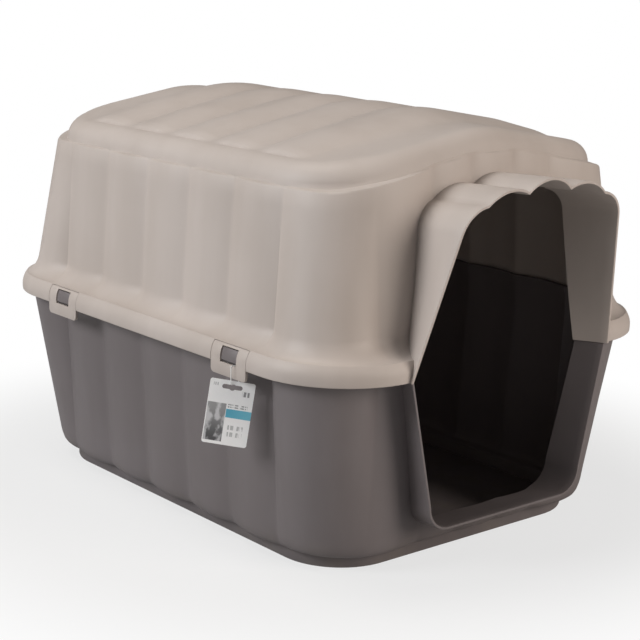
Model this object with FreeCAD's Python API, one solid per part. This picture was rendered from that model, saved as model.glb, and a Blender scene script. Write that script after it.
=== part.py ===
import FreeCAD, Part
import os
from math import atan, cos, radians, sin, sqrt

# Plastic dog house in two moulded halves. Sizes in millimetres.
# Z is up, the doorway faces -Y, and the origin is on the ground under the middle of the rim.

V = FreeCAD.Vector

# Rim and heights
RIM_LENGTH = 813.0          # front to back over the rim band
RIM_WIDTH = 633.6           # side to side over the rim band
RIM_CORNER = 129.0          # plan radius of the rim's corners
PART_HEIGHT = 266.0         # lower edge of the rim, where the two halves part
RIM_TALL = 36.0             # rim band, from the parting to the shelf under the walls
RIM_ROUND = 28.0            # rounded upper edge of the rim band

# Walls of both mouldings
WALL = 4.0
DRAFT = 0.062               # lean of the flats, per millimetre of height
CUSP_INSET = 39.0           # flute valleys, in from the rim face at the parting height
CORNER_INSET = 17.5         # corner wall, in from the rim corner at the parting height
CORNER_DRAFT = 0.172        # lean of the corner wall, per millimetre of height
CORNER_AIM = 40.0           # direction of the corner's crown in plan, degrees
SIDE_FLUTES = 5
SIDE_MARGIN = 156.5         # last valleys of the side walls, in from the rim face
FLUTE_RADIUS = 156.0        # plan radius of a flute
END_CUSPS = (38.0, 107.0)   # valleys of the end walls, from the middle plane
END_MARGIN = 116.8          # their last valley, in from the rim face

# Ledge at the head of the roof walls
EAVE_HEIGHT = 497.5
EAVE_MARGIN = 71.8          # start of its climb along the end walls, in from the rim face
EAVE_SLOPE = 0.188          # climb, per millimetre
EAVE_FLAT = 60.0            # half length of its arched middle
EAVE_CROWN = 3.0            # rise of that arch

# Roof cap above the ledge
CAP_INSET = 54.0            # in from the rim face
CAP_CORNER = 122.0
CAP_SLOPE = 0.170           # fall of the roof, per millimetre from the ridge
CAP_APEX = 568.0            # height where the two slopes would meet
RIDGE_RADIUS = 240.0
SHOULDER_RADIUS = 30.0
RIB_RISE = 13.5             # height of a cross rib over the roof slope
RIB_MARGIN = 46.8           # end of a rib's full width, in from the side of the cap
RIB_TOE = 20.0              # length of the sloped toe beyond it
RIB_SPREAD = 20.0           # how far a rib spreads over its neighbour at the ridge
RIB_RIDGE = 30.0            # half width of the rib's straight length over the ridge

# Hood over the doorway. Each outline is given as distances from the middle plane and heights:
# foot, shoulder, round corner, outer valley, outer scallop, inner valley, middle scallop.
HOOD_LEAN = 0.193           # forward lean of the hood's mouth, per millimetre of height
HOOD_PROUD = 4.5            # mouth of the hood at the parting height, in front of the rim face
HOOD_DEEP = 56.5            # root of the hood and of the frame, behind the rim face
HOOD_MOUTH = ((185.0, PART_HEIGHT), (146.0, 453.0), (132.5, 477.0),
              (106.5, 488.5), (72.0, 505.0), (38.0, 499.5), (0.0, 515.0))
HOOD_BACK = ((150.0, PART_HEIGHT), (137.0, 449.0), (127.5, 471.0),
             (106.5, 482.0), (72.0, 499.5), (38.0, 494.5), (0.0, 509.0))

# Doorway frame of the base: head, shoulder, round corner, sill
FRAME_PROUD = 1.5           # front plane of the frame, in front of the rim face
FRAME_MOUTH = ((181.0, PART_HEIGHT), (143.0, 95.0), (133.5, 70.5), (108.0, 58.5))
FRAME_BACK = ((158.0, PART_HEIGHT), (131.0, 95.0), (123.0, 66.0), (98.0, 50.0))
FRAME_GAP = 1.0             # between the frame's head and the hood

# Base
PLINTH_TALL = 20.0          # height of the plinth under the walls
PLINTH_INSET = 71.0         # in from the rim face
PLINTH_CORNER = 90.0
FOOT_CURL = ((0.0, 10.0), (4.0, 4.5), (12.0, 1.0), (22.0, 0.0))  # height over plinth, set in
SEAT_GAP = 1.0              # head of the base walls, inside the rim band of the roof

# Snap tabs on the long sides
TAB_SPACING = 406.0         # between the front and the rear tab
TAB_SHIFT = -6.5            # middle of that spacing, from the middle of the rim
TAB_WIDTH = 74.0
TAB_DROP = 15.0             # how far a tab hangs below the rim
TAB_ROUND = 6.0
TAB_SHY = 10.0              # hinge line of a tab below the shelf
TAB_GAP = 0.6               # slit between a tab and the rim
WINDOW_WIDTH = 34.0
WINDOW_TALL = 21.0
BAR_TALL = 17.0             # bar of the tab under the window
LUG_GAP = 1.2               # lug to the sides and head of its window
LUG_FOOT_GAP = 2.8          # lug to the bar, which leaves room for the tag's loop
LUG_SHY = 1.0               # lug face behind the tab face
LUG_WALL = 3.0

# Hang tag and its loop
CARD_WIDTH = 58.0
CARD_TALL = 86.0
CARD_THICK = 0.6
CARD_CORNER = 3.0
SLOT_WIDTH = 26.0
SLOT_TALL = 6.0
SLOT_DROP = 8.5             # middle of the slot below the card's top edge
SLOT_EYE = 4.5              # radius of the round middle of the slot
CARD_FACE = 40.0            # card's face, turned from the doorway side towards the wall, degrees
CARD_TILT = 8.0             # lean of the card in its own plane, degrees
LOOP_SHIFT = 14.0           # loop, from the middle of its window towards the doorway
LOOP_WIRE = 1.2             # diameter of the loop's filament
LOOP_OUT = 5.2              # filament's middle outside the bar
LOOP_IN = 3.3               # filament's middle inside the bar
LOOP_CORNER = 1.5           # radius of the filament's corners
LOOP_GAP = 0.3              # filament to the edge of the slot and to the bar
CARD_GAP = 1.5              # card below the tab when it hangs level

HALF_WIDTH = RIM_WIDTH / 2
HALF_LENGTH = RIM_LENGTH / 2
FLUTE_PITCH = (RIM_LENGTH - 2 * SIDE_MARGIN) / SIDE_FLUTES
SHELF_HEIGHT = PART_HEIGHT + RIM_TALL
EAVE_START = HALF_WIDTH - EAVE_MARGIN
RIB_REACH = HALF_WIDTH - CAP_INSET - RIB_MARGIN
HOOD_ROOT = HALF_LENGTH - HOOD_DEEP
FAR = RIM_LENGTH + RIM_WIDTH


def arc(a, m, b):
    return Part.Arc(a, m, b).toShape()


def line(a, b):
    return Part.makeLine(a, b)


def prism(wire, rise):
    return Part.Face(wire).extrude(rise)


def box(x0, x1, y0, y1, z0, z1):
    return Part.makeBox(x1 - x0, y1 - y0, z1 - z0, V(x0, y0, z0))


def round_rect(inset, radius, z):
    """Closed plan outline, set in from the rim face."""
    x = HALF_WIDTH - inset
    y = HALF_LENGTH - inset
    k = radius * (1 - sqrt(0.5))
    r = radius
    edges = [
        line(V(x, r - y, z), V(x, y - r, z)),
        arc(V(x, y - r, z), V(x - k, y - k, z), V(x - r, y, z)),
        line(V(x - r, y, z), V(r - x, y, z)),
        arc(V(r - x, y, z), V(k - x, y - k, z), V(-x, y - r, z)),
        line(V(-x, y - r, z), V(-x, r - y, z)),
        arc(V(-x, r - y, z), V(k - x, k - y, z), V(r - x, -y, z)),
        line(V(r - x, -y, z), V(x - r, -y, z)),
        arc(V(x - r, -y, z), V(x - k, k - y, z), V(x, r - y, z)),
    ]
    return Part.Wire(edges)


def flute_rise(width):
    return FLUTE_RADIUS - sqrt(FLUTE_RADIUS ** 2 - width ** 2 / 4)


def fluted_wire(z, skin, curl=0.0):
    """Closed plan outline of the walls at height z: round flutes between sharp valleys."""
    fall = abs(z - PART_HEIGHT)
    cusp = CUSP_INSET + DRAFT * fall + skin + curl
    crown = RIM_CORNER - CORNER_INSET - CORNER_DRAFT * fall - skin - curl
    x = HALF_WIDTH - cusp
    y = HALF_LENGTH - cusp
    side = [FLUTE_PITCH * (i - SIDE_FLUTES / 2) for i in range(SIDE_FLUTES + 1)]
    out = list(END_CUSPS) + [HALF_WIDTH - END_MARGIN]
    end = [-c for c in reversed(out)] + out
    corner_x = HALF_WIDTH - RIM_CORNER + crown * cos(radians(CORNER_AIM))
    corner_y = HALF_LENGTH - RIM_CORNER + crown * sin(radians(CORNER_AIM))
    edges = []
    for a, b in zip(side, side[1:]):
        edges.append(arc(V(x, a, z), V(x + flute_rise(b - a), (a + b) / 2, z), V(x, b, z)))
    edges.append(arc(V(x, side[-1], z), V(corner_x, corner_y, z), V(end[-1], y, z)))
    for a, b in zip(end[::-1], end[-2::-1]):
        edges.append(arc(V(a, y, z), V((a + b) / 2, y + flute_rise(a - b), z), V(b, y, z)))
    edges.append(arc(V(end[0], y, z), V(-corner_x, corner_y, z), V(-x, side[-1], z)))
    for a, b in zip(side[::-1], side[-2::-1]):
        edges.append(arc(V(-x, a, z), V(-x - flute_rise(a - b), (a + b) / 2, z), V(-x, b, z)))
    edges.append(arc(V(-x, side[0], z), V(-corner_x, -corner_y, z), V(end[0], -y, z)))
    for a, b in zip(end, end[1:]):
        edges.append(arc(V(a, -y, z), V((a + b) / 2, -y - flute_rise(b - a), z), V(b, -y, z)))
    edges.append(arc(V(end[-1], -y, z), V(corner_x, -corner_y, z), V(x, side[0], z)))
    return Part.Wire(edges)


def walls(low, high, skin):
    return Part.makeLoft([fluted_wire(low, skin), fluted_wire(high, skin)], True, True)


def curled_walls(low, skin):
    """Walls of the base below the parting, curling in at their foot."""
    wires = [fluted_wire(low + up, skin, curl) for up, curl in FOOT_CURL]
    return Part.makeLoft(wires + [fluted_wire(PART_HEIGHT, skin)], True, True)


def ledge_block(skin):
    """Everything below the ledge, which climbs to an arch over each end wall."""
    low = PART_HEIGHT - RIM_TALL
    flat = EAVE_HEIGHT - skin
    shoulder = flat + EAVE_SLOPE * (EAVE_START - EAVE_FLAT)
    y = -FAR
    edges = [
        line(V(-FAR, y, low), V(FAR, y, low)),
        line(V(FAR, y, low), V(FAR, y, flat)),
        line(V(FAR, y, flat), V(EAVE_START, y, flat)),
        line(V(EAVE_START, y, flat), V(EAVE_FLAT, y, shoulder)),
        arc(V(EAVE_FLAT, y, shoulder), V(0, y, shoulder + EAVE_CROWN), V(-EAVE_FLAT, y, shoulder)),
        line(V(-EAVE_FLAT, y, shoulder), V(-EAVE_START, y, flat)),
        line(V(-EAVE_START, y, flat), V(-FAR, y, flat)),
        line(V(-FAR, y, flat), V(-FAR, y, low)),
    ]
    return prism(Part.Wire(edges), V(0, 2 * FAR, 0))


def ridge_height(skin):
    return CAP_APEX - skin - RIDGE_RADIUS * (1 / cos(atan(CAP_SLOPE)) - 1)


def gable_block(skin):
    """Everything below the two roof slopes and the rounded ridge between them."""
    low = PART_HEIGHT
    half = RIDGE_RADIUS * sin(atan(CAP_SLOPE))
    apex = CAP_APEX - skin
    y = -FAR
    edges = [
        line(V(-FAR, y, low), V(FAR, y, low)),
        line(V(FAR, y, low), V(FAR, y, apex - CAP_SLOPE * FAR)),
        line(V(FAR, y, apex - CAP_SLOPE * FAR), V(half, y, apex - CAP_SLOPE * half)),
        arc(V(half, y, apex - CAP_SLOPE * half), V(0, y, ridge_height(skin)),
            V(-half, y, apex - CAP_SLOPE * half)),
        line(V(-half, y, apex - CAP_SLOPE * half), V(-FAR, y, apex - CAP_SLOPE * FAR)),
        line(V(-FAR, y, apex - CAP_SLOPE * FAR), V(-FAR, y, low)),
    ]
    return prism(Part.Wire(edges), V(0, 2 * FAR, 0))


def cap(skin):
    """Smooth roof cap with its rounded shoulder."""
    low = EAVE_HEIGHT - SHOULDER_RADIUS
    plan = round_rect(CAP_INSET + skin, CAP_CORNER - skin, low)
    body = prism(plan, V(0, 0, CAP_APEX)).common(gable_block(skin))
    solid = body.Solids[0]
    rim = [e for e in solid.Edges
           if e.BoundBox.ZMin > low + 1 and not on_ridge(e) and not upright(e)]
    return solid.makeFillet(SHOULDER_RADIUS - skin, rim)


def on_ridge(edge):
    """The long lines where the slopes run into the rounded ridge."""
    return edge.BoundBox.YLength > RIM_LENGTH / 2 and edge.BoundBox.XLength < 1 and (
        edge.BoundBox.XMax < HALF_WIDTH / 2 and edge.BoundBox.XMin > -HALF_WIDTH / 2)


def upright(edge):
    return edge.BoundBox.XLength < 0.01 and edge.BoundBox.YLength < 0.01


def rib_section(x, middle, half, low, rise):
    """Arched section of a cross rib, closed under the roof."""
    under = low - SHOULDER_RADIUS
    a = V(x, middle - half, low)
    b = V(x, middle + half, low)
    c = V(x, middle + half, under)
    d = V(x, middle - half, under)
    return Part.Wire([arc(a, V(x, middle, low + rise), b), line(b, c), line(c, d), line(d, a)])


def rib(middle, skin):
    half = FLUTE_PITCH / 2
    eave = CAP_APEX - skin - CAP_SLOPE * RIB_REACH
    ridge = ridge_height(skin)
    toe = CAP_APEX - skin - CAP_SLOPE * (RIB_REACH + RIB_TOE - skin)
    stations = [
        (RIB_REACH + RIB_TOE - skin, half * 0.6, toe - 1, 1.0),
        (RIB_REACH + RIB_TOE / 2 - skin, half * 0.88, (toe + eave) / 2, RIB_RISE * 0.75),
        (RIB_REACH - skin, half, eave, RIB_RISE),
        (RIB_RIDGE, half + RIB_SPREAD, ridge - CAP_SLOPE * RIB_RIDGE / 2, RIB_RISE),
    ]
    sections = [rib_section(-x, middle, h, z, r) for x, h, z, r in stations]
    sections += [rib_section(x, middle, h, z, r) for x, h, z, r in reversed(stations)]
    return Part.makeLoft(sections, True, True)


def ribs(skin):
    return [rib(FLUTE_PITCH * (i - (SIDE_FLUTES - 1) / 2), skin) for i in range(SIDE_FLUTES)]


def band(skin):
    """Rim band of the roof with its rounded upper edge."""
    plan = round_rect(skin, RIM_CORNER - skin, PART_HEIGHT)
    body = prism(plan, V(0, 0, RIM_TALL - skin))
    top = [e for e in body.Edges if e.BoundBox.ZMin > PART_HEIGHT + 1 and not e.BoundBox.ZLength > 1]
    return body.makeFillet(RIM_ROUND - skin, top)


def hood_wire(points, skin, place):
    foot, shoulder, corner, valley_a, scallop, valley_b, middle = points
    s = skin
    foot = (foot[0] - s, foot[1])
    shoulder = (shoulder[0] - s, shoulder[1] - s / 4)
    corner = (corner[0] - s * sqrt(0.5), corner[1] - s * sqrt(0.5))
    valley_a = (valley_a[0], valley_a[1] - s)
    scallop = (scallop[0], scallop[1] - s)
    valley_b = (valley_b[0], valley_b[1] - s)
    middle = (middle[0], middle[1] - s)

    def p(q, sign):
        return place(sign * q[0], q[1])

    edges = [
        line(p(foot, 1), p(shoulder, 1)),
        arc(p(shoulder, 1), p(corner, 1), p(valley_a, 1)),
        arc(p(valley_a, 1), p(scallop, 1), p(valley_b, 1)),
        arc(p(valley_b, 1), p(middle, 1), p(valley_b, -1)),
        arc(p(valley_b, -1), p(scallop, -1), p(valley_a, -1)),
        arc(p(valley_a, -1), p(corner, -1), p(shoulder, -1)),
        line(p(shoulder, -1), p(foot, -1)),
        line(p(foot, -1), p(foot, 1)),
    ]
    return Part.Wire(edges)


def hood(skin):
    def mouth(x, z):
        return V(x, -HALF_LENGTH - HOOD_PROUD - HOOD_LEAN * (z - PART_HEIGHT), z)

    def back(x, z):
        return V(x, -HOOD_ROOT, z)

    front = hood_wire(HOOD_MOUTH, skin, mouth)
    root = hood_wire(HOOD_BACK, skin, back)
    return Part.makeLoft([root, front], True, True)


def hood_passage():
    """Way through the end wall behind the hood's root."""
    def deep(x, z):
        return V(x, -HOOD_ROOT, z)

    wire = hood_wire(HOOD_BACK, WALL, deep)
    return prism(wire, V(0, 2 * WALL + RIM_ROUND, 0))


def frame_wire(points, skin, head, y):
    top, shoulder, corner, sill = points
    s = skin
    slope = (top[0] - shoulder[0]) / (top[1] - shoulder[1])
    top = (top[0] - s + slope * (head - top[1]), head)
    shoulder = (shoulder[0] - s, shoulder[1])
    corner = (corner[0] - s * sqrt(0.5), corner[1] + s * sqrt(0.5))
    sill = (sill[0], sill[1] + s)

    def p(q, sign):
        return V(sign * q[0], y, q[1])

    edges = [
        line(p(top, 1), p(shoulder, 1)),
        arc(p(shoulder, 1), p(corner, 1), p(sill, 1)),
        line(p(sill, 1), p(sill, -1)),
        arc(p(sill, -1), p(corner, -1), p(shoulder, -1)),
        line(p(shoulder, -1), p(top, -1)),
        line(p(top, -1), p(top, 1)),
    ]
    return Part.Wire(edges)


def frame(skin, head):
    """Doorway frame of the base, flaring out to its front plane."""
    root = frame_wire(FRAME_BACK, skin, head, -HOOD_ROOT)
    front = frame_wire(FRAME_MOUTH, skin, head, -HALF_LENGTH - FRAME_PROUD)
    return Part.makeLoft([root, front], True, True)


def frame_passage(head):
    root = frame_wire(FRAME_BACK, WALL, head, -HOOD_ROOT)
    return prism(root, V(0, 2 * WALL + PLINTH_TALL, 0))


def tab_places():
    """Side sign and middle of each snap tab."""
    half = TAB_SPACING / 2
    return {
        "snap_tab_left_front": (-1, TAB_SHIFT - half),
        "snap_tab_left_rear": (-1, TAB_SHIFT + half),
        "snap_tab_right_front": (1, TAB_SHIFT - half),
        "snap_tab_right_rear": (1, TAB_SHIFT + half),
    }


TAB_FOOT = PART_HEIGHT - TAB_DROP
TAB_HEAD = SHELF_HEIGHT - TAB_SHY
WINDOW_FOOT = TAB_FOOT + BAR_TALL


def side_box(sign, depth_a, depth_b, y0, y1, z0, z1):
    """Box between two depths in from the rim face of one long side."""
    xs = sorted((sign * (HALF_WIDTH - depth_a), sign * (HALF_WIDTH - depth_b)))
    return box(xs[0], xs[1], y0, y1, z0, z1)


def snap_tab(sign, middle):
    """Tab cut free of the rim band, with a straight foot that hangs below it."""
    half = TAB_WIDTH / 2
    plate = side_box(sign, 0, WALL, middle - half, middle + half, TAB_FOOT, PART_HEIGHT)
    foot = [e for e in plate.Edges if e.BoundBox.ZMax < TAB_FOOT + 0.01
            and e.BoundBox.XLength > 1]
    plate = plate.makeFillet(TAB_ROUND, foot)
    head = side_box(sign, 0, RIM_ROUND, middle - half, middle + half, PART_HEIGHT, TAB_HEAD)
    head = head.common(band(0)).cut(band(WALL))
    hole = side_box(sign, -WALL, RIM_ROUND, middle - WINDOW_WIDTH / 2, middle + WINDOW_WIDTH / 2,
                    WINDOW_FOOT, WINDOW_FOOT + WINDOW_TALL)
    return plate.fuse(head).cut(hole).removeSplitter()


def tab_notch(sign, middle):
    half = TAB_WIDTH / 2 + TAB_GAP
    return side_box(sign, -WALL, RIM_ROUND, middle - half, middle + half,
                    PART_HEIGHT - WALL, TAB_HEAD + TAB_GAP)


def lug(sign, middle):
    """Hollow lug of the base that stands in the window of a tab, open underneath."""
    half = WINDOW_WIDTH / 2 - LUG_GAP
    foot = WINDOW_FOOT + LUG_FOOT_GAP
    head = WINDOW_FOOT + WINDOW_TALL - LUG_GAP
    deep = CUSP_INSET + WALL / 2
    block = side_box(sign, 0, deep, middle - half, middle + half, foot, head)
    inside = side_box(sign, 0, deep, middle - half + LUG_WALL, middle + half - LUG_WALL,
                      foot - WALL, head - LUG_WALL)
    return block.common(band(LUG_SHY)).cut(inside.common(band(LUG_SHY + LUG_WALL)))


def only_solid(shape, name):
    solids = shape.Solids
    if len(solids) != 1:
        raise RuntimeError(name + " came out as " + str(len(solids)) + " solids")
    return solids[0]


def roof_shell():
    outer = band(0).fuse([
        walls(PART_HEIGHT + RIM_TALL / 2, CAP_APEX, 0).common(ledge_block(0)),
        cap(0), hood(0)] + ribs(0))
    inner = band(WALL).fuse([
        walls(PART_HEIGHT, CAP_APEX, WALL).common(ledge_block(WALL)),
        cap(WALL), hood(WALL), hood_passage()] + ribs(WALL))
    shell = outer.cut(inner)
    shell = shell.cut([tab_notch(*place) for place in tab_places().values()])
    return only_solid(shell, "roof")


def under_rim():
    """Room for the head of the base walls inside the rim band of the roof."""
    inset = WALL + SEAT_GAP
    plan = round_rect(inset, RIM_CORNER - inset, PART_HEIGHT)
    body = prism(plan, V(0, 0, RIM_TALL - WALL))
    top = [e for e in body.Edges if e.BoundBox.ZMin > PART_HEIGHT + 1]
    return body.makeFillet(RIM_ROUND, top)


def base_shell():
    head = SHELF_HEIGHT - WALL
    plinth = prism(round_rect(PLINTH_INSET, PLINTH_CORNER, 0), V(0, 0, PLINTH_TALL + WALL))
    well = prism(round_rect(PLINTH_INSET + WALL, PLINTH_CORNER - WALL, WALL),
                 V(0, 0, PLINTH_TALL + WALL))
    door_head = PART_HEIGHT - FRAME_GAP
    outer = curled_walls(PLINTH_TALL, 0).fuse([
        walls(PART_HEIGHT, head, 0).common(under_rim()), plinth, frame(0, door_head)])
    outer = outer.fuse([lug(*place) for place in tab_places().values()])
    inner = curled_walls(PLINTH_TALL + WALL, WALL).fuse([
        walls(PART_HEIGHT, head + WALL, WALL), well])
    shell = outer.cut(inner)
    shell = shell.cut([frame(WALL, door_head), frame_passage(door_head), door_head_room()])
    return only_solid(shell, "base")


def door_head_room():
    """Room for the hood between the cut ends of the base's front wall."""
    foot, shoulder = HOOD_MOUTH[0], HOOD_MOUTH[1]
    half = foot[0] + FRAME_GAP
    return box(-half, half, -FAR, -HALF_LENGTH / 2, PART_HEIGHT - FRAME_GAP, SHELF_HEIGHT + WALL)


def loop_place():
    sign, middle = tab_places()["snap_tab_left_front"]
    return middle - LOOP_SHIFT


def loop_levels():
    """Heights of the filament's upper and lower runs, and the slot's middle."""
    clear = LOOP_WIRE / 2 + LOOP_GAP
    slot = TAB_FOOT - CARD_GAP - SLOT_DROP
    return WINDOW_FOOT + clear, slot + SLOT_EYE - clear, slot


def tag_loop():
    """Filament ring round the tab's bar, hanging out to the card."""
    upper, lower, slot = loop_levels()
    out = -HALF_WIDTH - LOOP_OUT
    into = -HALF_WIDTH + WALL + LOOP_IN
    y = loop_place()
    r = LOOP_CORNER
    k = r * (1 - sqrt(0.5))
    start = V(out, y, (upper + lower) / 2)
    path = Part.Wire([
        line(start, V(out, y, upper - r)),
        arc(V(out, y, upper - r), V(out + k, y, upper - k), V(out + r, y, upper)),
        line(V(out + r, y, upper), V(into - r, y, upper)),
        arc(V(into - r, y, upper), V(into - k, y, upper - k), V(into, y, upper - r)),
        line(V(into, y, upper - r), V(into, y, lower + r)),
        arc(V(into, y, lower + r), V(into - k, y, lower + k), V(into - r, y, lower)),
        line(V(into - r, y, lower), V(out + r, y, lower)),
        arc(V(out + r, y, lower), V(out + k, y, lower + k), V(out, y, lower + r)),
        line(V(out, y, lower + r), start),
    ])
    ring = Part.Wire([Part.makeCircle(LOOP_WIRE / 2, start, V(0, 0, 1))])
    return path.makePipeShell([ring], True, True)


def hang_tag():
    """Card with a slot, made flat with its slot's middle at the origin and then hung."""
    upper, lower, slot = loop_levels()
    top = SLOT_DROP
    card = box(-CARD_WIDTH / 2, CARD_WIDTH / 2, -CARD_THICK / 2, CARD_THICK / 2,
               top - CARD_TALL, top)
    corners = [e for e in card.Edges if e.BoundBox.XLength < 0.01 and e.BoundBox.ZLength < 0.01]
    card = card.makeFillet(CARD_CORNER, corners)
    slit = box(-SLOT_WIDTH / 2, SLOT_WIDTH / 2, -CARD_THICK, CARD_THICK,
               -SLOT_TALL / 2, SLOT_TALL / 2)
    ends = [e for e in slit.Edges if e.BoundBox.XLength < 0.01 and e.BoundBox.ZLength < 0.01]
    slit = slit.makeFillet(SLOT_TALL / 2.2, ends)
    eye = Part.makeCylinder(SLOT_EYE, 2 * CARD_THICK, V(0, -CARD_THICK, 0), V(0, 1, 0))
    card = card.cut([slit, eye])
    card.rotate(V(0, 0, 0), V(0, 1, 0), CARD_TILT)
    card.rotate(V(0, 0, 0), V(0, 0, 1), -CARD_FACE)
    card.translate(V(-HALF_WIDTH - LOOP_OUT / 2, loop_place(), slot))
    return only_solid(card, "card")


def main():
    parts = {"roof_shell": roof_shell(), "base_shell": base_shell()}
    for name, place in tab_places().items():
        parts[name] = only_solid(snap_tab(*place), name)
    parts["tag_loop"] = only_solid(tag_loop(), "loop")
    parts["hang_tag"] = hang_tag()
    os.makedirs("parts", exist_ok=True)
    for name, shape in parts.items():
        print(name, shape.isValid(), round(shape.Volume / 1000), "cm3")
        shape.exportStep(os.path.join("parts", name + ".step"))


main()
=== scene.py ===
# %% [markdown]
# # A two-part plastic dog house
# The house is two injection mouldings: a pale taupe roof with a rim, and a dark base. The packed
# model gives every piece at its real size. It is loaded first. Nothing that is added later may
# make the house bigger.

# %% Load the frame
from math import asin, atan, cos, pi, radians, sin, sqrt

import bmesh
import bpy
import numpy as np
from mathutils import Matrix, Vector


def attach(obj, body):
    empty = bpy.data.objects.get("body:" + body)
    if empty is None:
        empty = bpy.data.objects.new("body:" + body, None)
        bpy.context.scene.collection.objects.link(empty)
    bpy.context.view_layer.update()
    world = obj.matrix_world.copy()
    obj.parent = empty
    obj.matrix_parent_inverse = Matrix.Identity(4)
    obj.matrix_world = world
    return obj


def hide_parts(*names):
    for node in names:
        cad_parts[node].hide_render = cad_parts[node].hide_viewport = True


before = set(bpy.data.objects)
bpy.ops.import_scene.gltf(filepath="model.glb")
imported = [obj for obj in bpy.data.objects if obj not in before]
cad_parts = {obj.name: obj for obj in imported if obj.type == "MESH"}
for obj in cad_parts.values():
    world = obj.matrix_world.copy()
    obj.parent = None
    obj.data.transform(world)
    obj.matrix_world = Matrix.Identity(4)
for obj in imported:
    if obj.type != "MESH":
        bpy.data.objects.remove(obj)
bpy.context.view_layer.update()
print("nodes:", sorted(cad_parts))

# %% [markdown]
# ## Camera
# The photograph looks down on the front left corner from about two and a half metres. The camera
# is given by its turn, its tilt, a slight roll and its place, in metres, and a lens that makes the
# picture's 640 pixels as wide as they are in the photograph.

# %% Place the camera
IMAGE_PIXELS = 640
FOCAL_PIXELS = 1608.3
SENSOR = 36.0
CAMERA_PLACE = Vector((-1.5001, -1.7989, 0.7979))
CAMERA_TURN = radians(40.024)
CAMERA_TILT = radians(13.348)
CAMERA_ROLL = radians(1.365)

forward = Vector((sin(CAMERA_TURN) * cos(CAMERA_TILT), cos(CAMERA_TURN) * cos(CAMERA_TILT),
                  -sin(CAMERA_TILT)))
level = Vector((cos(CAMERA_TURN), -sin(CAMERA_TURN), 0))
upright = level.cross(forward)
right = cos(CAMERA_ROLL) * level + sin(CAMERA_ROLL) * upright
upward = cos(CAMERA_ROLL) * upright - sin(CAMERA_ROLL) * level
camera_data = bpy.data.cameras.new("camera")
camera_data.sensor_width = SENSOR
camera_data.lens = FOCAL_PIXELS / IMAGE_PIXELS * SENSOR
camera = bpy.data.objects.new("camera", camera_data)
camera.matrix_world = (Matrix.Translation(CAMERA_PLACE)
                       @ Matrix((right, upward, -forward)).transposed().to_4x4())
bpy.context.scene.collection.objects.link(camera)
bpy.context.scene.camera = camera
print("lens:", round(camera_data.lens, 2), "mm")

# %% [markdown]
# ## Outlines of the walls
# Seen from above, the walls are a chain of shallow round flutes with a soft valley between two of
# them, and one wide round at each corner. Every ring of points that follows is made in the same
# order, so that one ring can be extruded into the next: up a side, round a corner, along an end.

# %% Rings of points seen from above
HALF_WIDTH = 0.3168            # rim face to the middle plane
HALF_LENGTH = 0.4065
RIM_CORNER = 0.129             # radius of the rim's corners, seen from above
PARTING = 0.266                # height where roof and base meet
WALL = 0.004
CUSP_INSET = 0.039             # flute valleys at the parting, in from the rim face
DRAFT = 0.062                  # lean of the walls for each metre away from the parting
CORNER_INSET = 0.0175          # the same two for the crown of a corner
CORNER_DRAFT = 0.172
CORNER_AIM = radians(40)       # direction of that crown, seen from above
ARC_POINTS = 91                # points round a corner before they are spaced out
FLUTE_RADIUS = 0.156
SIDE_CUSPS = (-0.25, -0.15, -0.05, 0.05, 0.15, 0.25)
END_CUSPS = (-0.2, -0.107, -0.038, 0.038, 0.107, 0.2)
STEPS = (0.035, 0.09, 0.18, 0.3, 0.43, 0.57, 0.7, 0.82, 0.91, 0.965)
CORNER_STEPS = (0.02, 0.05, 0.1, 0.16, 0.23, 0.3, 0.37, 0.44, 0.5, 0.56, 0.63, 0.7, 0.77, 0.84,
                0.9, 0.95, 0.98)


def stations(cusps):
    """Places along a row of flutes, with more of them near each valley."""
    inner = [a + (b - a) * t for a, b in zip(cusps, cusps[1:]) for t in (0,) + STEPS]
    return np.array(inner + [cusps[-1]])


SIDE = stations(SIDE_CUSPS)
END = stations(END_CUSPS)[::-1]


def flutes(places, cusps, softness=0.5):
    """How far round flutes stand out from the line through their valleys."""
    out = np.zeros(len(places))
    for a, b in zip(cusps, cusps[1:]):
        inside = (places >= a - 1e-9) & (places <= b + 1e-9)
        drop = sqrt(FLUTE_RADIUS ** 2 - ((b - a) / 2) ** 2)
        out[inside] = np.sqrt(FLUTE_RADIUS ** 2 - (places[inside] - (a + b) / 2) ** 2) - drop
    soft = out.copy()
    soft[1:-1] += (out < 1e-6)[1:-1] * softness * ((out[:-2] + out[2:]) / 2 - out[1:-1])
    return soft


def arc(a, middle, b, steps):
    """Points on the circle through three points, at shares of the way from a to b."""
    a, middle, b = (complex(*p) for p in (a, middle, b))
    w = (b - a) / (middle - a)
    centre = (b - a) * (w - abs(w) ** 2) / (w - w.conjugate()) / w + a
    turn = np.angle((b - centre) / (a - centre))
    points = centre + (a - centre) * np.exp(1j * turn * np.array(steps))
    return np.column_stack([points.real, points.imag])


def whole_ring(side, end, corner):
    """Closed ring from the outline of a side, an end and the corner between them."""
    back = corner[::-1] * (-1, 1)
    near = corner[::-1] * (1, -1)
    return np.vstack([
        np.column_stack([side, SIDE]), corner,
        np.column_stack([END, end]), back,
        np.column_stack([-side, -SIDE]), -corner,
        np.column_stack([-END, -end]), near])


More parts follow.
